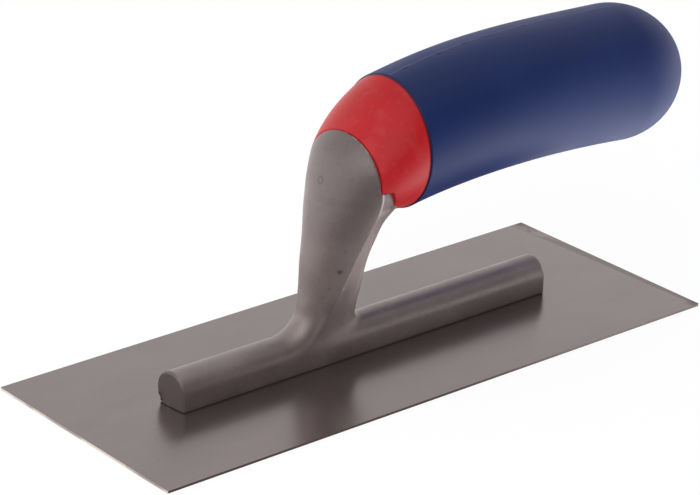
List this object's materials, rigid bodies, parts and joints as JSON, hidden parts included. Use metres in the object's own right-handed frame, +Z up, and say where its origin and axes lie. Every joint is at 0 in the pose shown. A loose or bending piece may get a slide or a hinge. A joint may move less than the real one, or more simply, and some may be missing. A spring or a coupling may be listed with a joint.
{
  "type": "hand trowel",
  "caption": "Flat rectangular steel trowel blade with a cast mounting bar and shank, and a rounded two-colour handle with a soft grip.",
  "frame": {"origin": "centre of the blade's flat underside, the face the tool rests on and works with", "axes": "+X along the blade towards the handle's free end, +Y across the blade, +Z up from the working face towards the handle"},
  "size_m": [0.2101, 0.076, 0.0828],
  "materials": {
    "blade_steel": "fine brushed along the length, semi-gloss",
    "cast_metal": "satin as-cast with small pits and scuffs",
    "rivet_steel": "flush ground heads",
    "collar_plastic": "satin moulded plastic",
    "grip_rubber": "satin soft-touch rubber"
  },
  "bodies": {
    "root": {"blade": "blade_steel", "mounting_casting": "cast_metal", "blade_rivets": "rivet_steel", "handle_core": "collar_plastic", "soft_grip": "grip_rubber"}
  },
  "joints": []
}
